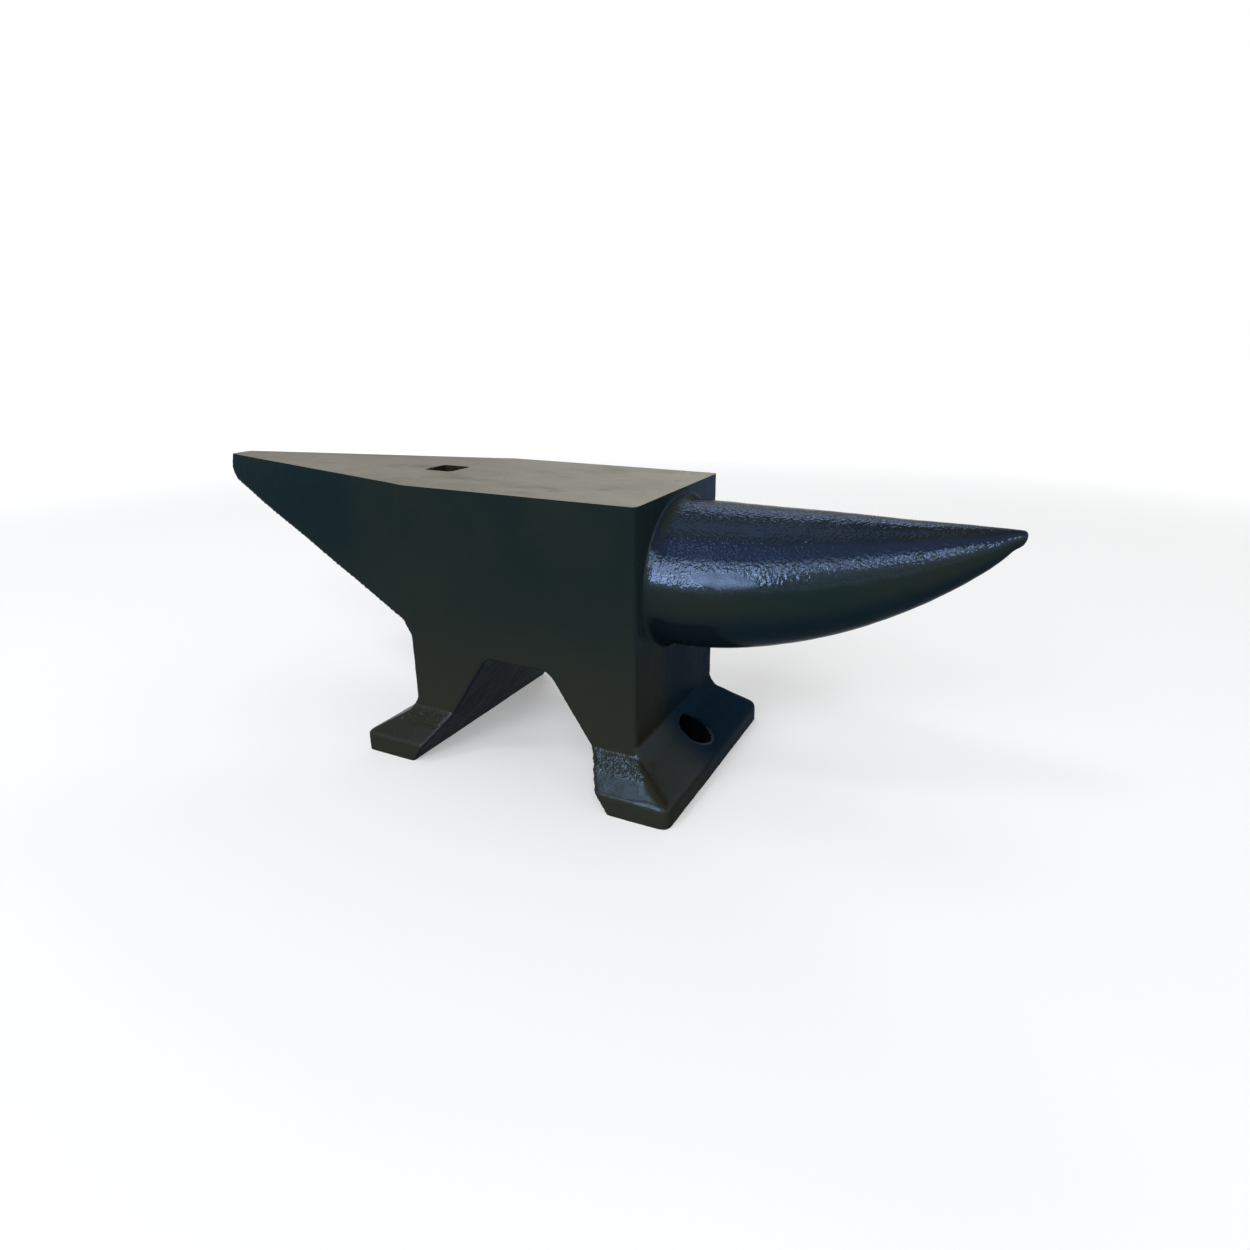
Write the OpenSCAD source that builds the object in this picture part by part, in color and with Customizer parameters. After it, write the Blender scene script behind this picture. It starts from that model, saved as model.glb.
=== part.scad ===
// Horn anvil on four feet, with a round horn, a flat tapering tail and a square hardy hole.
// Millimetres. X runs along the anvil towards the horn's point, Y to its back, Z up.
// The origin is on the ground, under the middle of the overall length.

/* [Body] */
// Length of the body between its two end faces
body_l = 146; // [138:1:156]
// Width of the body and of the working face
body_w = 110; // [104:1:120]
// Height of the working face above the ground
face_h = 160; // [156:1:170]
// Thickness of the hard steel face plate
plate_t = 12; // [8:1:14]

/* [Base] */
// Length of the base over the feet
base_l = 199; // [190:1:215]
// Width of the base over the feet
base_w = 145; // [135:1:160]
// Height of the upright rim round the feet
rim_h = 11.5; // [8:0.5:14]
// Height at which the sloping tops of the feet meet the body
foot_h = 27; // [25:1:32]
// Radius of the base's corners, seen from above
corner_r = 3.5; // [2:0.5:10]

/* [Arch] */
// Height of the arch's ceiling above the ground
arch_h = 65.5; // [58:0.5:70]
// Width of the arch at its ceiling
arch_top_w = 41; // [30:1:50]
// Width of the arch at the ground
arch_foot_w = 128; // [112:1:134]

/* [Tail] */
// Reach of the tail's top edge beyond the body
tail_l = 188.5; // [170:0.5:200]
// Width of the tail at its tip
tail_tip_w = 16; // [12:1:30]
// Height of the tail's underside where it leaves the body
tail_root_h = 78; // [76:1:84]
// Rise of the tail's underside, in degrees
tail_rise = 18.6; // [17:0.1:19]
// Radius of the nose under the tail's tip
nose_r = 10; // [8:0.5:11]

/* [Horn] */
// Length of the horn from the body to its point
horn_l = 167; // [150:1:185]
// Half the horn's height behind its root fillet
horn_r = 39; // [34:0.5:40]
// Half the horn's width behind its root fillet; towards its point the horn turns round
horn_side_r = 46.5; // [38:0.5:48]
// Height of the horn's level top line
horn_top = 154.4; // [150:0.2:155]
// Radius of the horn's blunt point
horn_tip_r = 4.5; // [1.5:0.5:5]
// How full the horn is along its length
horn_fullness = 1.88; // [1.5:0.02:2.2]
// How bluntly the horn closes towards its point
horn_bluntness = 0.866; // [0.75:0.002:1]
// Length of the fillet that spreads the horn's root over the body
fillet_l = 7; // [4:1:16]

/* [Holes] */
// Side of the square hardy hole
hardy_side = 20; // [16:1:22]
// How far the hardy hole lies behind the middle
hardy_y = 3; // [0:1:5]
// Radius of the handling hole in the horn end's foot
handling_r = 9.5; // [6:0.5:9.5]
// How far the handling hole lies behind the middle
handling_y = 2; // [0:1:4]
// Depth of the handling hole on its axis
handling_depth = 18; // [12:1:18]
// Upward tilt of the handling hole's axis, in degrees
handling_tilt = 30; // [25:1:35]

/* [Hidden] */

paint = [0.13, 0.18, 0.19];
dark_paint = [0.11, 0.15, 0.17];
steel = [0.56, 0.55, 0.51];

// A little more than nothing, so that cutting solids pass right through a face
past = 1;
body_x = body_l / 2;
plate_z = face_h - plate_t;
half_w = body_w / 2;

// The nose bulges past the top edge of the tail's tip
nose_bulge = 2.7;
nose_x = tail_l + nose_bulge - nose_r;
nose_z = face_h - 9.5;
// Where the underside's straight run ends and the nose begins
straight_x = 155;
tail_reach = tail_l + nose_bulge;
// The body stands off the middle because the tail reaches further than the horn
shift_x = (tail_reach - horn_l) / 2;

horn_axis_z = horn_top - horn_r;
// How far the fillet spreads the root sideways, upwards and downwards
fillet_side = 1.5;
fillet_up = 3.5;
fillet_down = 2.5;
// The horn keeps its full radius for this first stretch
horn_lead = 9;
horn_sides = 60;
fillet_rings = 6;
horn_rings = 26;
tip_rings = 4;

// Stub tenons that seat the horn and the tail in the core
horn_stub = [24, 34, 34];
tail_stub = [14, 22, 34];
tail_stub_y = 34;
tail_stub_z = 100;

// Half the arch's width at a height, on its straight sloping side
function arch_x(z) = arch_foot_w / 2 + (arch_top_w - arch_foot_w) / 2 * z / arch_h;

// Half the tail's width at a distance from the body
function tail_y(d) = (body_w + (tail_tip_w - body_w) * d / tail_l) / 2;

// Half the horn's height at a distance from the body, without its fillet
function horn_radius(d) =
    let (u = max(0, (d - horn_lead) / (horn_l - horn_tip_r - horn_lead)))
    horn_tip_r + (horn_r - horn_tip_r) * pow(max(0, 1 - pow(u, horn_fullness)), horn_bluntness);

// How much wider than high the horn is at a distance from the body
function horn_widening(d) = 1 + (horn_side_r / horn_r - 1) * (1 - d / horn_l);

// Share of the fillet's spread that is left at a distance from the body
function fillet(d) = d >= fillet_l ? 0 : 1 - sqrt(1 - pow(1 - d / fillet_l, 2));

// One ring of the horn: x, reach sideways, reach upwards, reach downwards, height of the middle
function horn_ring(d) =
    let (r = horn_radius(d), f = fillet(d))
    [d, r * horn_widening(d) + fillet_side * f, r + fillet_up * f, r + fillet_down * f, horn_top - r];

// One ring of the round point, at an angle from its root to its end
function tip_ring(a) =
    let (r = horn_tip_r * cos(a))
    [horn_l - horn_tip_r + horn_tip_r * sin(a), r, r, r, horn_top - horn_tip_r];

// The rings run close together in the fillet and towards the point
horn_ring_list = [
    for (i = [0:fillet_rings - 1]) horn_ring(fillet_l * (1 - cos(90 * i / fillet_rings))),
    for (i = [0:horn_rings]) horn_ring(fillet_l + (horn_l - horn_tip_r - fillet_l) * sin(90 * i / horn_rings)),
    for (i = [1:tip_rings]) tip_ring(86 * i / tip_rings)
];

// Moves a piece from the body's middle to its place in the part's frame
module placed() {
    translate([shift_x, 0, 0]) children();
}

// Extrudes an outline in X and Z along Y, from the front to the back
module along_y(front, back) {
    translate([0, back, 0]) rotate([90, 0, 0]) linear_extrude(back - front) children();
}

// The tail's side outline, drawn from the body's end outwards in -X
module tail_side() {
    nose = [for (a = [-100:12.5:25]) [-nose_x - nose_r * cos(a), nose_z + nose_r * sin(a)]];
    polygon(concat(
        [[0, face_h], [0, tail_root_h], [-straight_x, tail_root_h + straight_x * tan(tail_rise)]],
        nose,
        [[-tail_l, face_h]]
    ));
}

// The tail's outline from above, from the body's end outwards in -X
module tail_plan() {
    polygon([[0, -half_w], [0, half_w], [-tail_reach, tail_y(tail_reach)], [-tail_reach, -tail_y(tail_reach)]]);
}

// The whole tail from its underside to the working face
module tail_form() {
    translate([-body_x, 0, 0]) intersection() {
        along_y(-half_w, half_w) tail_side();
        linear_extrude(face_h) tail_plan();
    }
}

// The square hole beside the body, flush with the body's end face
module hardy_hole() {
    translate([-body_x - hardy_side, hardy_y - hardy_side / 2, tail_root_h - past])
        cube([hardy_side, hardy_side, face_h - tail_root_h + 2 * past]);
}

// Everything at or above a height, to split the tail at the plate
module above(z) {
    translate([-body_x - tail_reach - past, -half_w - past, z])
        cube([body_l + tail_reach + 2 * past, body_w + 2 * past, face_h]);
}

// The hard steel plate that is welded along the whole top
module face_plate() {
    color(steel) placed() difference() {
        union() {
            translate([-body_x, -half_w, plate_z]) cube([body_l, body_w, plate_t]);
            intersection() {
                tail_form();
                above(plate_z);
            }
        }
        hardy_hole();
    }
}

// The stub that seats the horn in the core
module horn_tenon() {
    translate([body_x - horn_stub.x, -horn_stub.y / 2, horn_axis_z - horn_stub.z / 2]) cube(horn_stub);
}

// The two stubs that seat the tail in the core, either side of the hardy hole
module tail_tenons() {
    for (side = [-1, 1])
        translate([-body_x, side * tail_stub_y - tail_stub.y / 2, tail_stub_z]) cube(tail_stub);
}

// The block that every other piece is welded to
module core() {
    color(paint) placed() difference() {
        translate([-body_x, -half_w, arch_h]) cube([body_l, body_w, plate_z - arch_h]);
        horn_tenon();
        tail_tenons();
    }
}

// The flat tail under the plate
module tail() {
    color(dark_paint) placed() union() {
        difference() {
            tail_form();
            above(plate_z);
            hardy_hole();
        }
        tail_tenons();
    }
}

// The horn's skin: level along the top, drawn in from below
module horn_form() {
    rings = len(horn_ring_list);
    points = [
        for (r = horn_ring_list) for (k = [0:horn_sides - 1])
            let (a = 360 * k / horn_sides)
            [r[0], r[1] * cos(a), r[4] + (sin(a) > 0 ? r[2] : r[3]) * sin(a)]
    ];
    sides = [
        for (i = [0:rings - 2]) for (k = [0:horn_sides - 1])
            let (n = (k + 1) % horn_sides, a = i * horn_sides, b = a + horn_sides)
            each [[a + k, b + n, a + n], [a + k, b + k, b + n]]
    ];
    root = [for (k = [0:horn_sides - 1]) k];
    point = [for (k = [horn_sides - 1:-1:0]) (rings - 1) * horn_sides + k];
    polyhedron(points, concat(sides, [root, point]), convexity = 4);
}

// The round horn, from its fillet to its blunt point
module horn() {
    color(dark_paint) placed() union() {
        translate([body_x, 0, 0]) horn_form();
        horn_tenon();
    }
}

// One leg, between the core and its two feet; end is 1 for the horn's end and -1 for the tail's
module leg(end) {
    mirror([end < 0 ? 1 : 0, 0, 0]) along_y(-half_w, half_w)
        polygon([[arch_x(foot_h), foot_h], [body_x, foot_h], [body_x, arch_h], [arch_x(arch_h), arch_h]]);
}

module horn_end_leg() {
    color(paint) placed() leg(1);
}

module tail_end_leg() {
    color(paint) placed() leg(-1);
}

// One quarter of the base from above, with its outer corner rounded
module foot_plan() {
    length = base_l / 2;
    width = base_w / 2;
    union() {
        square([length - corner_r, width]);
        square([length, width - corner_r]);
        translate([length - corner_r, width - corner_r]) circle(corner_r, $fn = 48);
    }
}

// The back foot at the horn's end, which the others mirror
module foot_form() {
    intersection() {
        along_y(0, base_w / 2) polygon([
            [arch_x(0), 0], [base_l / 2, 0], [base_l / 2, rim_h], [body_x, foot_h], [arch_x(foot_h), foot_h]
        ]);
        rotate([90, 0, 90]) linear_extrude(base_l) polygon([
            [0, 0], [base_w / 2, 0], [base_w / 2, rim_h], [half_w, foot_h], [0, foot_h]
        ]);
        linear_extrude(foot_h) foot_plan();
    }
}

// The blind hole that a bar is put in to turn the anvil in the fire
module handling_hole() {
    mouth_x = (base_l / 2 - body_x) * 0.4;
    mouth_z = foot_h - mouth_x * (foot_h - rim_h) / (base_l / 2 - body_x);
    translate([body_x + mouth_x, handling_y, mouth_z]) rotate([0, 90 - handling_tilt, 0])
        translate([0, 0, -handling_depth]) cylinder(h = handling_depth + 4 * handling_r, r = handling_r, $fn = 64);
}

// One foot; end is 1 for the horn's end and -1 for the tail's, side is 1 for the back
module foot(end, side) {
    color(paint) placed() difference() {
        mirror([end < 0 ? 1 : 0, 0, 0]) mirror([0, side < 0 ? 1 : 0, 0]) foot_form();
        if (end > 0) handling_hole();
    }
}

module front_horn_foot() {
    foot(1, -1);
}

module back_horn_foot() {
    foot(1, 1);
}

module front_tail_foot() {
    foot(-1, -1);
}

module back_tail_foot() {
    foot(-1, 1);
}

face_plate();
core();
tail();
horn();
horn_end_leg();
tail_end_leg();
front_horn_foot();
back_horn_foot();
front_tail_foot();
back_tail_foot();
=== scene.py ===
"""The looks of the horn anvil: one rough cast skin under glossy paint, cut into a piece for each part
of the frame, and a bare ground steel face."""

import math

import bmesh
import bpy
import numpy as np
from mathutils import Matrix, Vector, noise

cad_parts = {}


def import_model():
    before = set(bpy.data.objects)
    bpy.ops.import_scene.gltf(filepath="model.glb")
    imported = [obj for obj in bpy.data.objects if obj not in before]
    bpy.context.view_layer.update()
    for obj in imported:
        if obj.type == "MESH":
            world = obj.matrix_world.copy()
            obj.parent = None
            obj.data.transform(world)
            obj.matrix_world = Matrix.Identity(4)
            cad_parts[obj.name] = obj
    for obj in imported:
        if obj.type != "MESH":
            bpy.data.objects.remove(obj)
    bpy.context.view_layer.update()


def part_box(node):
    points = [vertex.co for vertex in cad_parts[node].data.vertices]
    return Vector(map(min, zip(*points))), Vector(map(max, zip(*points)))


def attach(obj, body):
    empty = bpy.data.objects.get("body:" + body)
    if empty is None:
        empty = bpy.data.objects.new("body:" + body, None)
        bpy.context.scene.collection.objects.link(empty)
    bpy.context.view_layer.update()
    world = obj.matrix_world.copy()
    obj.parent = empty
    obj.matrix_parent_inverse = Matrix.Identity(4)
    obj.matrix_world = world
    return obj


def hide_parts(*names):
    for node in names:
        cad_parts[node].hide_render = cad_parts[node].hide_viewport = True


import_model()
scene = bpy.context.scene

# Sizes are in millimetres from the middle of the body, as in the part's source
MM = 0.001
core_low, core_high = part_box("core")
plate_low, plate_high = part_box("face_plate")
horn_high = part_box("horn")[1]
foot_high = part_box("back_horn_foot")[1]
MIDDLE_X = (core_low.x + core_high.x) / 2
BODY_X = (core_high.x - core_low.x) / 2 / MM
HALF_W = core_high.y / MM
FACE_Z = plate_high.z / MM
PLATE_Z = plate_low.z / MM
ARCH_Z = core_low.z / MM
FOOT_Z = foot_high.z / MM
BASE_X = (foot_high.x - MIDDLE_X) / MM
BASE_Y = foot_high.y / MM
RIM_Z = 11.5
CORNER_R = 3.5
ARCH_TOP_X = 20.5
ARCH_FOOT_X = 64

TAIL_L = 188.5
TAIL_TIP_Y = 8
TAIL_ROOT_Z = 78
TAIL_RISE = math.tan(math.radians(18.6))
NOSE_R = 10
NOSE_X = 181.2
NOSE_Z = 150.5
STRAIGHT_X = 155

HORN_L = (horn_high.x - MIDDLE_X) / MM - BODY_X
HORN_R = 39
HORN_SIDE_R = 46.5
HORN_TOP = 154.4
HORN_FULLNESS = 1.88
HORN_BLUNTNESS = 0.866
TIP_R = 5
LEAD = 9
FILLET = 7
# How far the fillet spreads the horn's root sideways, upwards and downwards
SPREAD_SIDE = 1.5
SPREAD_UP = 3.5
SPREAD_DOWN = 2.5
# The flat end of the horn's point: how far its rings are from the end, their radius and their top's drop
POINT_RINGS = ((2.4, 4.1, 0), (1, 3.3, 0.2), (0.3, 2.2, 0.9), (0, 0.9, 2))

HARDY_X = -83
HARDY_Y = 3
HARDY_HALF = 10

# The handling hole's mouth and its axis, which tilts up by 30 degrees
HOLE_MOUTH = Vector((BODY_X + 0.4 * (BASE_X - BODY_X), 2, FOOT_Z - 0.4 * (FOOT_Z - RIM_Z)))
HOLE_ALONG = Vector((math.cos(math.radians(30)), 0, math.sin(math.radians(30))))
HOLE_R = 9.1
HOLE_DEPTH = 18

# The skin is made higher than the face and its feet deeper than the ground. Then it is cut at both,
# so that those edges stay sharp.
OVER = 8
# How far the horn and the tail reach into the body before they are joined with it
INSIDE = 8
# The skin is cut into the horn, tail, legs and feet this far beyond the body's own faces
OUTSIDE = 0.6
# The size of the skin's mesh
GRAIN = 1.2

X, Y, Z = 0, 1, 2


def place(x, y, z):
    """A point of the anvil, from millimetres about the body's middle to metres in the frame."""
    return Vector((MIDDLE_X + x * MM, y * MM, z * MM))


def arch_x(z):
    """Half the arch's width at a height."""
    return ARCH_FOOT_X + (ARCH_TOP_X - ARCH_FOOT_X) * z / ARCH_Z


def tail_y(d):
    """Half the tail's width at a distance from the body."""
    return HALF_W + (TAIL_TIP_Y - HALF_W) * d / TAIL_L


def linked(name, bm):
    """A new object in the scene from a bmesh."""
    mesh = bpy.data.meshes.new(name)
    bm.to_mesh(mesh)
    bm.free()
    made = bpy.data.objects.new(name, mesh)
    scene.collection.objects.link(made)
    return made


def hull(name, points):
    """The convex solid round some points."""
    bm = bmesh.new()
    for p in points:
        bm.verts.new(place(*p))
    found = bmesh.ops.convex_hull(bm, input=bm.verts)
    loose = set(found["geom_interior"] + found["geom_unused"])
    bmesh.ops.delete(bm, geom=[g for g in loose if isinstance(g, bmesh.types.BMVert)], context="VERTS")
    bmesh.ops.recalc_face_normals(bm, faces=bm.faces)
    return linked(name, bm)


def prism(name, outline, front, back):
    """A solid with one outline in X and Z, from the front to the back."""
    bm = bmesh.new()
    near = [bm.verts.new(place(x, front, z)) for x, z in outline]
    far = [bm.verts.new(place(x, back, z)) for x, z in outline]
    for i in range(len(outline)):
        bm.faces.new((near[i - 1], near[i], far[i], far[i - 1]))
    bm.faces.new(near)
    bm.faces.new(far)
    bmesh.ops.recalc_face_normals(bm, faces=bm.faces)
    bmesh.ops.triangulate(bm, faces=bm.faces)
    return linked(name, bm)


def turned(name, rings):
    """A solid along X from rings of (x, half width, reach up, reach down, height of the middle)."""
    count = 96
    bm = bmesh.new()
    rows = []
    for x, side, up, down, z in rings:
        row = []
        for k in range(count):
            a = 2 * math.pi * k / count
            rise = up if math.sin(a) > 0 else down
            row.append(bm.verts.new(place(x, side * math.cos(a), z + rise * math.sin(a))))
        rows.append(row)
    for one, two in zip(rows, rows[1:]):
        for k in range(count):
            bm.faces.new((one[k - 1], one[k], two[k], two[k - 1]))
    bm.faces.new(rows[0])
    bm.faces.new(rows[-1])
    bmesh.ops.recalc_face_normals(bm, faces=bm.faces)
    bmesh.ops.triangulate(bm, faces=bm.faces)
    return linked(name, bm)


def rounded(before, corner, after):
    """Points of a soft curve that replaces a corner."""
    steps = 6
    points = []
    for i in range(steps + 1):
        t = i / steps
        points.append(tuple(
            (1 - t) ** 2 * a + 2 * t * (1 - t) * b + t * t * c for a, b, c in zip(before, corner, after)
        ))
    return points


def body_form():
    """The body and its two legs, down into the feet, with the arch's soft ceiling corners."""
    low = 6
    ease = 5
    run = Vector((ARCH_FOOT_X - ARCH_TOP_X, -ARCH_Z)).normalized() * ease
    right = rounded((ARCH_TOP_X - ease, ARCH_Z), (ARCH_TOP_X, ARCH_Z), (ARCH_TOP_X + run.x, ARCH_Z + run.y))
    right.append((arch_x(low), low))
    left = [(-x, z) for x, z in reversed(right)]
    outline = [(BODY_X, low), (BODY_X, FACE_Z + OVER), (-BODY_X, FACE_Z + OVER), (-BODY_X, low)]
    return prism("body_form", outline + left + right, -HALF_W, HALF_W)


def feet_form(end):
    """The pair of feet at one end, with a sloping top and rounded corners."""
    points = []
    for side in (-1, 1):
        points.append((end * BODY_X, side * HALF_W, FOOT_Z))
        points.append((end * arch_x(FOOT_Z), side * HALF_W, FOOT_Z))
        for z in (-OVER / 2, RIM_Z):
            points.append((end * arch_x(z), side * BASE_Y, z))
            for i in range(7):
                a = math.radians(15 * i)
                points.append((
                    end * (BASE_X - CORNER_R * (1 - math.sin(a))),
                    side * (BASE_Y - CORNER_R * (1 - math.cos(a))),
                    z,
                ))
    return hull("feet_form", points)


def tail_form():
    """The tapering tail, from inside the body to its rounded nose."""
    outline = [(-INSIDE, TAIL_ROOT_Z), (0, TAIL_ROOT_Z)]
    outline.append((STRAIGHT_X, TAIL_ROOT_Z + STRAIGHT_X * TAIL_RISE))
    for step in range(11):
        a = math.radians(-100 + 12.5 * step)
        outline.append((NOSE_X + NOSE_R * math.cos(a), NOSE_Z + NOSE_R * math.sin(a)))
    outline.append((TAIL_L, FACE_Z))
    outline.append((TAIL_L - 2.6, FACE_Z + OVER))
    outline.append((-INSIDE, FACE_Z + OVER))
    points = []
    for d, z in outline:
        for side in (-1, 1):
            points.append((-BODY_X - d, side * tail_y(max(d, 0)), z))
    return hull("tail_form", points)


def horn_radius(d):
    """Half the horn's height at a distance from the body, without its fillet."""
    u = max(0, (d - LEAD) / (HORN_L - TIP_R - LEAD))
    return TIP_R + (HORN_R - TIP_R) * max(0, 1 - u ** HORN_FULLNESS) ** HORN_BLUNTNESS


def horn_form():
    """The round horn, level on top, with the fillet that spreads its root over the body."""
    fillet_rings = 8
    horn_rings = 32
    rings = []
    for i in range(fillet_rings + horn_rings + 1):
        if i < fillet_rings:
            d = FILLET * (i / fillet_rings)
        else:
            turn = math.pi * (i - fillet_rings) / (2 * horn_rings)
            d = FILLET + (HORN_L - TIP_R - FILLET) * math.sin(turn)
        left = max(0, 1 - d / FILLET)
        f = 1 - math.sqrt(1 - left * left)
        r = horn_radius(d)
        wide = 1 + (HORN_SIDE_R / HORN_R - 1) * (1 - d / HORN_L)
        reach = (r * wide + SPREAD_SIDE * f, r + SPREAD_UP * f, r + SPREAD_DOWN * f)
        rings.append((BODY_X + d, *reach, HORN_TOP - r))
    rings.insert(0, (BODY_X - INSIDE,) + rings[0][1:])
    for back, r, drop in POINT_RINGS:
        rings.append((BODY_X + HORN_L - back, r, r, r, HORN_TOP - r - drop))
    return turned("horn_form", rings)


def waist_fillet():
    """The soft corner between the tail's underside and the body."""
    reach = 6
    sunk = 4
    outline = (
        (0, TAIL_ROOT_Z - reach),
        (reach, TAIL_ROOT_Z + reach * TAIL_RISE),
        (-sunk, TAIL_ROOT_Z - reach),
        (-sunk, TAIL_ROOT_Z + sunk),
        (reach, TAIL_ROOT_Z + reach),
    )
    points = []
    for d, z in outline:
        for side in (-1, 1):
            points.append((-BODY_X - d, side * tail_y(max(d, 0)), z))
    return hull("waist_fillet", points)


def foot_fillet(end):
    """The soft corner between a leg's end face and the slope of its feet."""
    reach = 5
    sunk = 4
    fall = (FOOT_Z - RIM_Z) / (BASE_X - BODY_X)
    outline = (
        (BODY_X, FOOT_Z + reach),
        (BODY_X + reach, FOOT_Z - reach * fall),
        (BODY_X + reach, FOOT_Z - reach),
        (BODY_X - sunk, FOOT_Z + reach),
        (BODY_X - sunk, FOOT_Z - reach),
    )
    points = [(end * x, side * HALF_W, z) for side in (-1, 1) for x, z in outline]
    return hull("foot_fillet", points)


def hardy_form():
    """The square hole beside the body, right through the tail."""
    low = 60
    high = FACE_Z + 2 * OVER
    near = HARDY_X + HARDY_HALF
    far = HARDY_X - HARDY_HALF
    outline = [(far, low), (near, low), (near, high), (far, high)]
    return prism("hardy_form", outline, HARDY_Y - HARDY_HALF, HARDY_Y + HARDY_HALF)


def handling_form():
    """The blind round hole in the slope of the foot under the horn."""
    up = Vector((-HOLE_ALONG.z, 0, HOLE_ALONG.x))
    count = 48
    far_out = 40
    points = []
    for along in (-HOLE_DEPTH, far_out):
        for k in range(count):
            a = 2 * math.pi * k / count
            p = HOLE_MOUTH + HOLE_ALONG * along + up * HOLE_R * math.sin(a)
            points.append((p.x, p.y + HOLE_R * math.cos(a), p.z))
    return hull("handling_form", points)


def cast_skin():
    """All the forms as one closed mesh with an even grain, holes and all."""
    whole = body_form()
    added = [feet_form(1), feet_form(-1), tail_form(), horn_form()]
    added += [waist_fillet(), foot_fillet(1), foot_fillet(-1)]
    taken = [hardy_form(), handling_form()]
    for other in added + taken:
        step = whole.modifiers.new("join", "BOOLEAN")
        step.operation = "UNION" if other in added else "DIFFERENCE"
        step.solver = "MANIFOLD"
        step.object = other
    remesh = whole.modifiers.new("grain", "REMESH")
    remesh.mode = "VOXEL"
    remesh.voxel_size = GRAIN * MM
    ready = whole.evaluated_get(bpy.context.evaluated_depsgraph_get())
    mesh = bpy.data.meshes.new_from_object(ready)
    for scrap in [whole] + added + taken:
        bpy.data.objects.remove(scrap)
    return mesh


def more_softening(co, to_tip):
    """How much longer some places of the skin are smoothed than the rest."""
    # The corner where the tail leaves the body's flank is rounded much more than the other edges
    off_corner = np.abs(co[:, X] - place(-BODY_X, 0, 0).x) / (9 * MM)
    above_waist = np.clip((co[:, Z] - 84 * MM) / (8 * MM), 0, 1)
    on_flank = np.abs(co[:, Y]) > 30 * MM
    corner = 0.5 * np.clip(1.6 - 1.6 * off_corner, 0, 1) * above_waist * on_flank
    # The horn is smoothed a little longer too, but not its root and its point
    off_root = np.clip((co[:, X] - place(BODY_X + 8, 0, 0).x) / (6 * MM), 0, 1)
    horn = 0.16 * off_root * np.clip(to_tip / (50 * MM), 0, 1)
    return (corner + horn)[:, None]


def soften(mesh):
    """Rounds the edges a little, less towards the horn's point so that it keeps its length."""
    rounds = 2
    more_rounds = 60
    count = len(mesh.vertices)
    co = np.empty(count * 3)
    mesh.vertices.foreach_get("co", co)
    co = co.reshape(-1, 3)
    ends = np.empty(len(mesh.edges) * 2, int)
    mesh.edges.foreach_get("vertices", ends)
    ends = ends.reshape(-1, 2)
    degree = np.bincount(ends.ravel(), minlength=count)
    to_tip = place(BODY_X + HORN_L, 0, 0).x - co[:, X]
    weight = 0.5 * np.clip(to_tip / 0.014, 0.1, 1)[:, None]
    more = more_softening(co, to_tip)
    for step in range(rounds + more_rounds):
        if step == rounds:
            weight = more
        total = np.zeros_like(co)
        for axis in (X, Y, Z):
            total[:, axis] = np.bincount(ends[:, 0], co[ends[:, 1], axis], count)
            total[:, axis] += np.bincount(ends[:, 1], co[ends[:, 0], axis], count)
        co += weight * (total / degree[:, None] - co)
    mesh.vertices.foreach_set("co", co.ravel())
    mesh.update()
    return co


def roughen(mesh, co):
    """Gives the skin the uneven surface of a casting: a slow swell and a finer lumpiness. The skin is
    also drawn in a little, so that it stays inside the frame's box."""
    drawn_in = 0.12 * MM
    normals = np.empty(len(co) * 3)
    mesh.vertex_normals.foreach_get("vector", normals)
    normals = normals.reshape(-1, 3)
    swell = [noise.noise(Vector(p) * 28) for p in co]
    lumps = [noise.noise(Vector(p) * 150 + Vector((3, 5, 7))) for p in co]
    height = 0.25 * MM * np.array(swell) + 0.1 * MM * np.array(lumps) - drawn_in
    co += normals * height[:, None]
    mesh.vertices.foreach_set("co", co.ravel())
    mesh.update()


def cut(bm, axis, at, above):
    """A copy of a closed bmesh on one side of a plane, closed again with flat faces."""
    part = bm.copy()
    across = Vector([1.0 if k == axis else 0.0 for k in (X, Y, Z)])
    bmesh.ops.bisect_plane(
        part, geom=part.verts[:] + part.edges[:] + part.faces[:], dist=1e-7,
        plane_co=across * at, plane_no=across, clear_inner=above, clear_outer=not above,
    )
    outward = -across if above else across
    rim = [e for e in part.edges if e.is_boundary]
    made = bmesh.ops.triangle_fill(part, edges=rim, use_beauty=True, normal=outward)
    for face in made["geom"]:
        if isinstance(face, bmesh.types.BMFace):
            face.smooth = False
            face.material_index = 1
            face.normal_update()
            if face.normal.dot(outward) < 0:
                face.normal_flip()
    return part


def halves(bm, axis, at):
    """Both sides of a plane, the lower one first."""
    return cut(bm, axis, at, False), cut(bm, axis, at, True)


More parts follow.
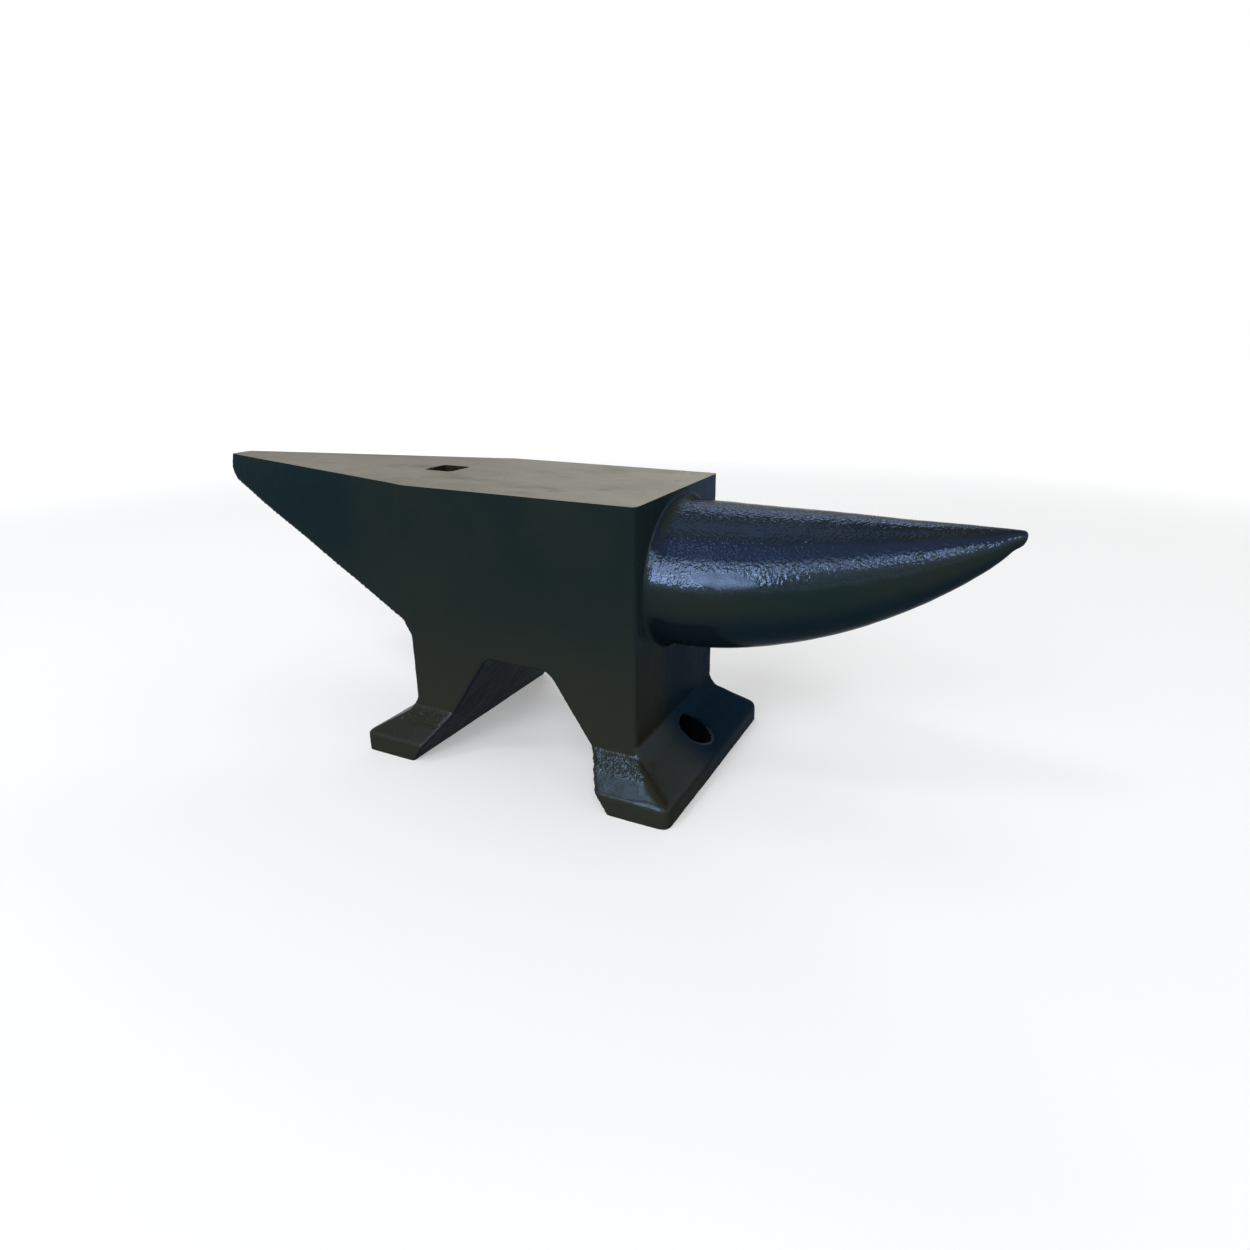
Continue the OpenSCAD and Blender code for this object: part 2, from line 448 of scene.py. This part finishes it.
def pieces_of_skin(mesh):
    """The skin as bmeshes, one for each node of the frame."""
    bm = bmesh.new()
    bm.from_mesh(mesh)
    layer = bm.verts.layers.float_vector.new("skin_normal")
    for face in bm.faces:
        face.smooth = True
    bm.normal_update()
    for v in bm.verts:
        v[layer] = v.normal
    # The ground and the face are flat
    whole = cut(cut(bm, Z, 0, True), Z, FACE_Z * MM, False)
    feet, rest = halves(whole, Z, (FOOT_Z + OUTSIDE) * MM)
    legs, rest = halves(rest, Z, (ARCH_Z - OUTSIDE) * MM)
    rest, horn = halves(rest, X, place(BODY_X + OUTSIDE, 0, 0).x)
    rest, plate = halves(rest, Z, PLATE_Z * MM)
    tail, core = halves(rest, X, place(-BODY_X - OUTSIDE, 0, 0).x)
    found = {"face_plate": plate, "core": core, "tail": tail, "horn": horn}
    tail_leg, horn_leg = halves(legs, X, MIDDLE_X)
    found["horn_end_leg"] = horn_leg
    found["tail_end_leg"] = tail_leg
    tail_feet, horn_feet = halves(feet, X, MIDDLE_X)
    for end, pair in (("horn", horn_feet), ("tail", tail_feet)):
        front, back = halves(pair, Y, 0)
        found[f"back_{end}_foot"] = back
        found[f"front_{end}_foot"] = front
    return found


def in_hardy_hole(p):
    """Whether a point is on the wall of the square hole, and not on its rounded mouth."""
    reach = 10.6 * MM
    return abs(p.x - place(HARDY_X, 0, 0).x) < reach and abs(p.y - HARDY_Y * MM) < reach


def in_handling_hole(p):
    """Whether a point is on the wall or the bottom of the round hole, below its rounded mouth."""
    from_mouth = p - place(*HOLE_MOUTH)
    along = from_mouth.dot(HOLE_ALONG)
    slope_out = Vector((FOOT_Z - RIM_Z, 0, BASE_X - BODY_X)).normalized()
    below_slope = from_mouth.dot(slope_out) < -0.5 * MM
    above_bottom = along > -(HOLE_DEPTH + 1) * MM
    return below_slope and above_bottom and (from_mouth - HOLE_ALONG * along).length < 10.4 * MM


def bare_walls(bm, inside_hole):
    """Gives the walls of a hole the third material, which has no paint."""
    for face in bm.faces:
        if face.smooth and inside_hole(face.calc_center_median()):
            face.material_index = 2


def piece(node, bm, materials):
    """One visible piece that stands for a node, shaded as part of the whole skin."""
    layer = bm.verts.layers.float_vector["skin_normal"]
    normals = []
    for face in bm.faces:
        for v in face.verts:
            normals.append(v[layer].normalized() if face.smooth else face.normal.copy())
    made = linked("skin_" + node, bm)
    mesh = made.data
    mesh.attributes.remove(mesh.attributes["skin_normal"])
    mesh.normals_split_custom_set(normals)
    for material in materials:
        mesh.materials.append(material)
    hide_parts(node)
    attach(made, "root")


def faded(tree, source, low, high, out_low, out_high):
    """A soft change from one value to another."""
    made = tree.nodes.new("ShaderNodeMapRange")
    made.interpolation_type = "SMOOTHSTEP"
    limits = (("From Min", low), ("From Max", high), ("To Min", out_low), ("To Max", out_high))
    for name, number in limits:
        made.inputs[name].default_value = number
    tree.links.new(source, made.inputs["Value"])
    return made.outputs["Result"]


class Graph:
    """A material's nodes, with short calls for the few kinds that are used here."""

    def __init__(self, name):
        self.material = bpy.data.materials.new(name)
        self.material.use_nodes = True
        self.tree = self.material.node_tree
        self.shader = self.tree.nodes["Principled BSDF"]
        self.place = self.node("ShaderNodeTexCoord").outputs["Object"]

    def node(self, kind, **settings):
        made = self.tree.nodes.new(kind)
        for key, value in settings.items():
            setattr(made, key, value)
        return made

    def link(self, source, target):
        self.tree.links.new(source, target)

    def split(self, vector):
        """The three parts of a vector."""
        made = self.node("ShaderNodeSeparateXYZ")
        self.link(vector, made.inputs[0])
        return made.outputs

    def stretched(self, scale):
        """The place, scaled along each axis, for marks that are longer one way."""
        made = self.node("ShaderNodeMapping")
        made.inputs["Scale"].default_value = scale
        self.link(self.place, made.inputs["Vector"])
        return made.outputs["Vector"]

    def noise(self, scale, detail=2.0, rough=0.5, vector=None):
        made = self.node("ShaderNodeTexNoise")
        made.inputs["Scale"].default_value = scale
        made.inputs["Detail"].default_value = detail
        made.inputs["Roughness"].default_value = rough
        self.link(vector or self.place, made.inputs["Vector"])
        return made.outputs["Fac"]

    def fit(self, value, low, high, out_low=0.0, out_high=1.0):
        return faded(self.tree, value, low, high, out_low, out_high)

    def mix(self, share, one, two):
        made = self.node("ShaderNodeMix", data_type="RGBA")
        self.link(share, made.inputs["Factor"])
        for socket, colour in ((made.inputs[6], one), (made.inputs[7], two)):
            if isinstance(colour, tuple):
                socket.default_value = colour + (1.0,)
            else:
                self.link(colour, socket)
        return made.outputs[2]

    def both(self, operation, one, two):
        """Two values in one calculation; the second may be a number."""
        made = self.node("ShaderNodeMath", operation=operation)
        self.link(one, made.inputs[0])
        if isinstance(two, float):
            made.inputs[1].default_value = two
        else:
            self.link(two, made.inputs[1])
        return made.outputs[0]

    def product(self, one, *others):
        for other in others:
            one = self.both("MULTIPLY", one, other)
        return one

    def away(self, value, middle, reach):
        """How far a value is from a middle, squared, where 1 is the reach."""
        share = self.both("DIVIDE", self.both("SUBTRACT", value, middle), reach)
        return self.product(share, share)

    def bump(self, height, distance, strength):
        made = self.node("ShaderNodeBump")
        made.inputs["Distance"].default_value = distance
        if isinstance(strength, float):
            made.inputs["Strength"].default_value = strength
        else:
            self.link(strength, made.inputs["Strength"])
        self.link(height, made.inputs["Height"])
        return made.outputs["Normal"]


# Colours that the paint takes in some places, whichever piece it is on. DUST is dust; the others are painted
# light, painted shade or a painted sheen
TAIL_PAINTED_SHADE = (0.0007, 0.006, 0.006)
DUST = (0.16, 0.15, 0.12)
PAINTED_LIGHT_END = (0.013, 0.024, 0.025)
PAINTED_SHEEN_CORNER = (0.034, 0.052, 0.084)
PAINTED_SHADE_BEHIND = (0.002, 0.008, 0.015)
PAINTED_SHADE_BELOW = (0.004, 0.0085, 0.011)
PAINTED_LIGHT_ROOT = (0.026, 0.032, 0.022)
PAINTED_SKY_SHEEN = (0.014, 0.019, 0.036)
# The tint of the shine where there is hardly any: painted shade that dulls the gloss in some places
SHADED_SHINE = (4.0, 14.0, 26.0)
GRIT_SCALE = 620


def paint_places(g, facing, at):
    """Shares of the places where the colour or the shine of the paint changes, by name. They go by where a
    surface is, in metres, and by which way it faces."""
    x, y, z = at["X"], at["Y"], at["Z"]
    to_x, to_z = facing["X"], facing["Z"]
    root = place(BODY_X, 0, 0).x
    near_root = g.fit(x, root + 3 * MM, root + 9 * MM, 1.0, 0.0)
    horn_end = g.fit(to_x, 0.9, 0.98)
    return {
        "facing_up": g.fit(to_z, 0.0, 0.4),
        # Painted shade on what faces down: a darker colour and a dulled shine
        "shaded_underside": g.fit(to_z, -0.6, -0.15, 1.0, 0.0),
        # Painted shade: the paint on the tail is darker and greener
        "tail": g.fit(x, -0.14, -0.06, 0.85, 0.0),
        # The paint is lighter and warmer towards the bottom
        "low": g.fit(z, 0.02, 0.14, 0.9, 0.0),
        # The flat end under the face, beside the horn, and its back corner: painted shade dulls the shine of
        # the whole flat end, the end beside the horn gets painted light, and the back corner a painted bluish
        # sheen
        "horn_end": horn_end,
        "lit_beside_horn": g.product(horn_end, g.fit(z, 0.075, 0.1)),
        "sheen_top_corner": g.product(horn_end, g.fit(y, 0.0, 0.02), g.fit(z, 0.12, 0.13)),
        # The back of the leg and of the slope under the horn: painted shade, darker and bluer, with its shine
        # dulled
        "behind": g.product(g.fit(to_x, 0.35, 0.45), g.fit(y, -0.035, 0.0), g.fit(z, 0.07, 0.084, 1.0, 0.0)),
        # The horn's root: painted light, a lighter grey, on its shoulder, and painted shade, a dulled shine,
        # on its top and on the fillet that turns out over them
        "root": g.product(
            g.fit(to_z, 0.3, 0.4), g.fit(x, root, root + 0.5 * MM), near_root, g.fit(z, 0.11, 0.12, 0.0, 0.8)
        ),
        "shaded_crown": g.product(g.fit(to_z, 0.6, 0.85), g.fit(z, 0.12, 0.13), near_root),
        "shaded_fillet": g.product(
            g.fit(to_x, 0.3, 0.5), g.fit(to_z, 0.5, 0.65), near_root, g.fit(z, 0.06, 0.07)
        ),
        # The dark stretch between the horn's highlight and its bright top: painted shade dulls its shine, and
        # its colour gets a painted bluish sheen
        "sheen_above_highlight": g.product(
            g.fit(to_z, 0.45, 0.57), g.fit(to_z, 0.68, 0.8, 1.0, 0.0), g.fit(z, 0.07, 0.08, 0.0, 0.9)
        ),
    }


def paint(name, deep, worn, lower_tone, shine, shine_above, gritty):
    """Gloss enamel over a rough casting, smooth on upright faces, with grit and dust on what faces up, and
    with painted light, painted shade and a painted sheen in some places.
    """
    g = Graph(name)
    facing = g.split(g.node("ShaderNodeNewGeometry").outputs["Normal"])
    at = g.split(g.place)
    share = paint_places(g, facing, at)
    dust = g.product(g.fit(g.noise(900, 2, 0.6), 0.66, 0.76, 0.0, 0.12), share["facing_up"])
    colour = g.mix(g.fit(g.noise(16, 3, 0.55), 0.38, 0.62), deep, worn)
    layers = (
        (share["tail"], TAIL_PAINTED_SHADE), (share["low"], lower_tone), (dust, DUST),
        (share["lit_beside_horn"], PAINTED_LIGHT_END), (share["sheen_top_corner"], PAINTED_SHEEN_CORNER),
        (share["behind"], PAINTED_SHADE_BEHIND), (share["shaded_underside"], PAINTED_SHADE_BELOW),
        (share["root"], PAINTED_LIGHT_ROOT), (share["sheen_above_highlight"], PAINTED_SKY_SHEEN),
    )
    for how_much, over in layers:
        colour = g.mix(how_much, colour, over)
    g.link(colour, g.shader.inputs["Base Color"])
    # Where there is less grit the gloss is a little softer too
    amount = gritty(g, facing, at)
    satin = g.fit(amount, 0.2, 0.8, 2.1, 1.0)
    gloss = g.fit(g.noise(45, 3, 0.6), 0.3, 0.7, 0.1, 0.15)
    g.link(g.product(gloss, satin), g.shader.inputs["Roughness"])
    # A soft film: it shines from the front, but hardly mirrors the white room at its edges
    g.shader.inputs["IOR"].default_value = 1.035
    # Painted sheen: the shine is stronger on what faces up. Then it is dulled where painted shade is put
    shining = g.mix(share["facing_up"], shine, shine_above)
    for where in ("shaded_crown", "shaded_fillet", "sheen_above_highlight", "horn_end", "behind", "shaded_underside"):
        shining = g.mix(share[where], shining, SHADED_SHINE)
    g.link(shining, g.shader.inputs["Specular Tint"])
    grit = g.product(g.noise(GRIT_SCALE, 1.5, 0.5), g.fit(g.noise(55, 2, 0.5), 0.34, 0.54, 0.7, 1.0))
    strength = g.product(g.fit(facing["Z"], 0.0, 0.4, 0.1, 1.0), amount)
    g.link(g.bump(grit, 0.27 / GRIT_SCALE, strength), g.shader.inputs["Normal"])
    return g.material


def smooth_low_feet(g, facing, at):
    """The grit on the feet: less on the lower half of their slopes, and much less on the end slopes."""
    lower = g.fit(at["Z"], 0.0175, 0.0205, 0.2, 0.85)
    aside = g.product(facing["Y"], facing["Y"])
    return g.product(g.fit(aside, 0.1, 0.25, 0.35, 1.0), lower)


def smooth_pool(g, facing, at):
    """The grit on the horn, with one smooth oval along its side."""
    along = g.away(at["X"], 0.1255, 0.017)
    upright = g.away(at["Z"], 0.1255, 0.0038)
    return g.fit(g.both("ADD", along, upright), 0.7, 1.3, 0.2, 1.0)


def bare_hole(name, one, two):
    """The rough wall of a hole, with no paint on it."""
    g = Graph(name)
    g.link(g.mix(g.fit(g.noise(140, 3, 0.6), 0.35, 0.65), one, two), g.shader.inputs["Base Color"])
    g.shader.inputs["Roughness"].default_value = 0.7
    g.shader.inputs["Specular IOR Level"].default_value = 0.0
    g.link(g.bump(g.noise(500, 3, 0.6), 0.0003, 0.8), g.shader.inputs["Normal"])
    return g.material


def ground_steel(name):
    """Bare steel, ground flat along the anvil, dulled and stained by handling."""
    g = Graph(name)
    clouds = g.fit(g.noise(22, 4, 0.6, g.stretched((0.5, 1, 1))), 0.35, 0.68)
    colour = g.mix(clouds, (0.305, 0.29, 0.237), (0.37, 0.352, 0.288))
    stains = g.fit(g.noise(60, 4, 0.65, g.stretched((0.45, 1, 1))), 0.54, 0.72, 0.0, 0.45)
    colour = g.mix(stains, colour, (0.18, 0.163, 0.12))
    specks = g.fit(g.noise(420, 2, 0.6, g.stretched((0.6, 1, 1))), 0.68, 0.74, 0.0, 0.75)
    colour = g.mix(specks, colour, (0.05, 0.042, 0.03))
    g.link(colour, g.shader.inputs["Base Color"])
    g.shader.inputs["Metallic"].default_value = 0.85
    g.shader.inputs["Specular Tint"].default_value = (0.42, 0.4, 0.33, 1.0)
    g.link(g.fit(g.noise(40, 3, 0.6), 0.3, 0.7, 0.42, 0.6), g.shader.inputs["Roughness"])
    grinding = g.noise(1400, 2, 0.6, g.stretched((0.04, 1, 1)))
    g.link(g.bump(grinding, 0.00008, 0.5), g.shader.inputs["Normal"])
    return g.material


def raw_cut(name):
    """The hidden faces where the pieces meet."""
    g = Graph(name)
    colour = g.mix(g.noise(300, 3), (0.03, 0.03, 0.03), (0.06, 0.055, 0.05))
    g.link(colour, g.shader.inputs["Base Color"])
    g.shader.inputs["Roughness"].default_value = 0.8
    return g.material


def shown_white(tree, plain, white):
    """Adds what the camera and reflections see to what the rest of the light sees."""
    path = tree.nodes.new("ShaderNodeLightPath")
    seen = path.outputs["Is Camera Ray"]
    for ray in ("Is Glossy Ray", "Is Transmission Ray"):
        either = tree.nodes.new("ShaderNodeMath")
        either.operation = "MAXIMUM"
        tree.links.new(seen, either.inputs[0])
        tree.links.new(path.outputs[ray], either.inputs[1])
        seen = either.outputs[0]
    mix = tree.nodes.new("ShaderNodeMixShader")
    tree.links.new(seen, mix.inputs[0])
    tree.links.new(plain, mix.inputs[1])
    tree.links.new(white, mix.inputs[2])
    return mix.outputs[0]


def floor():
    """A wide pale floor that keeps the anvil's soft shadow and turns white further away."""
    bm = bmesh.new()
    bmesh.ops.create_grid(bm, x_segments=8, y_segments=8, size=8)
    made = linked("floor", bm)
    material = bpy.data.materials.new("floor_white")
    material.use_nodes = True
    tree = material.node_tree
    base = tree.nodes["Principled BSDF"]
    base.inputs["Base Color"].default_value = (0.79, 0.76, 0.675, 1)
    base.inputs["Roughness"].default_value = 0.9
    base.inputs["Specular IOR Level"].default_value = 0.1
    point = tree.nodes.new("ShaderNodeNewGeometry")
    distance = tree.nodes.new("ShaderNodeVectorMath")
    distance.operation = "LENGTH"
    tree.links.new(point.outputs["Position"], distance.inputs[0])
    lift = tree.nodes.new("ShaderNodeEmission")
    tree.links.new(faded(tree, distance.outputs["Value"], 0.8, 2.2, 0.27, 0.85), lift.inputs["Strength"])
    both = tree.nodes.new("ShaderNodeAddShader")
    tree.links.new(base.outputs[0], both.inputs[0])
    tree.links.new(lift.outputs[0], both.inputs[1])
    shown = shown_white(tree, base.outputs[0], both.outputs[0])
    tree.links.new(shown, tree.nodes["Material Output"].inputs[0])
    made.data.materials.append(material)


def world():
    """Soft light from all round, seen as a white backdrop up to a darker studio ceiling."""
    made = bpy.data.worlds.new("studio")
    scene.world = made
    made.use_nodes = True
    tree = made.node_tree
    soft = tree.nodes["Background"]
    soft.inputs["Color"].default_value = (0.93, 0.96, 1.0, 1)
    soft.inputs["Strength"].default_value = 0.5
    white = tree.nodes.new("ShaderNodeBackground")
    white.inputs["Color"].default_value = (1, 1, 1, 1)
    direction = tree.nodes.new("ShaderNodeTexCoord")
    parts = tree.nodes.new("ShaderNodeSeparateXYZ")
    tree.links.new(direction.outputs["Generated"], parts.inputs[0])
    tree.links.new(faded(tree, parts.outputs["Z"], 0.5, 0.7, 1.0, 0.28), white.inputs["Strength"])
    tree.links.new(shown_white(tree, soft.outputs[0], white.outputs[0]), tree.nodes["World Output"].inputs[0])


def lamp(name, away, rise, turn, size, radiance, colour):
    """A soft rectangular lamp: how far it is in metres, its height and turn in degrees (0 is the front,
    + is towards the horn), its width and height in metres, and its brightness where 1 is white."""
    rise = math.radians(rise)
    turn = math.radians(turn)
    towards = Vector((0.13, -0.03, 0.12))
    at = towards + away * Vector((
        math.sin(turn) * math.cos(rise), -math.cos(turn) * math.cos(rise), math.sin(rise)
    ))
    light = bpy.data.lights.new(name, "AREA")
    light.shape = "RECTANGLE"
    light.size, light.size_y = size
    light.energy = radiance * math.pi * size[0] * size[1]
    light.color = colour
    made = bpy.data.objects.new(name, light)
    made.visible_camera = False
    made.location = at
    made.rotation_euler = (towards - at).to_track_quat("-Z", "Y").to_euler()
    scene.collection.objects.link(made)


def camera():
    """The photograph's viewpoint, from points measured in it."""
    data = bpy.data.cameras.new("camera")
    data.sensor_fit = "HORIZONTAL"
    data.sensor_width = 36
    data.lens = 23.211
    made = bpy.data.objects.new("camera", data)
    at = Vector((0.24894, -0.39186, 0.23736))
    forward = Vector((-0.42277, 0.83966, -0.34095)).normalized()
    right = Vector((0.89399, 0.44806, -0.00509)).normalized()
    up = right.cross(forward)
    turn = Matrix((right, up, -forward)).transposed().to_4x4()
    made.matrix_world = Matrix.Translation(at) @ turn
    scene.collection.objects.link(made)
    scene.camera = made


scene.view_settings.view_transform = "Standard"
camera()
world()
floor()
blue_sky = (0.76, 0.82, 1.0)
deep_sky = (0.5, 0.6, 1.0)
lamp("window", 3.2, 9, -10, (1.2, 0.6), 17, blue_sky)
lamp("upper_window", 3.2, 27, -14, (1.2, 1.2), 6.5, blue_sky)
lamp("middle_window", 3.2, 40, 8, (1.2, 0.9), 3, blue_sky)
lamp("side_window", 3.2, 34, 31, (0.7, 1.0), 8, blue_sky)
lamp("foot_lamp", 3.6, 55.5, -39, (0.6, 0.6), 14, blue_sky)
lamp("top_lamp", 3.0, 70, -130, (1.5, 1.5), 0.9, deep_sky)
lamp("back_lamp", 3.2, 34, -164, (1.3, 0.6), 5, blue_sky)

skin = cast_skin()
roughen(skin, soften(skin))
body_paint = paint(
    "body_paint",
    deep=(0.0056, 0.009, 0.006), worn=(0.009, 0.011, 0.0066), lower_tone=(0.0195, 0.018, 0.0096),
    shine=(11.5, 26.0, 37.0), shine_above=(37.0, 57.0, 76.0), gritty=smooth_low_feet,
)
horn_paint = paint(
    "horn_paint",
    deep=(0.004, 0.0082, 0.0054), worn=(0.0082, 0.0098, 0.0054), lower_tone=(0.0082, 0.0098, 0.0054),
    shine=(23.0, 40.0, 52.0), shine_above=(80.0, 109.0, 166.0), gritty=smooth_pool,
)
steel = ground_steel("face_steel")
inside = raw_cut("inside")
rusty = bare_hole("hole_brown", (0.014, 0.012, 0.007), (0.037, 0.03, 0.018))
# The handling hole's wall has no paint, and its near-black colour without any shine is painted shade of the
# deep hole
shaded_hole_wall = bare_hole("hole_black", (0.001, 0.0022, 0.0045), (0.0035, 0.0045, 0.007))
for node, form in pieces_of_skin(skin).items():
    if node == "face_plate":
        bare_walls(form, in_hardy_hole)
        piece(node, form, [body_paint, steel, rusty])
    elif node == "horn":
        piece(node, form, [horn_paint, inside])
    elif node == "tail":
        bare_walls(form, in_hardy_hole)
        piece(node, form, [body_paint, inside, rusty])
    elif "horn_foot" in node:
        bare_walls(form, in_handling_hole)
        piece(node, form, [body_paint, inside, shaded_hole_wall])
    else:
        piece(node, form, [body_paint, inside])
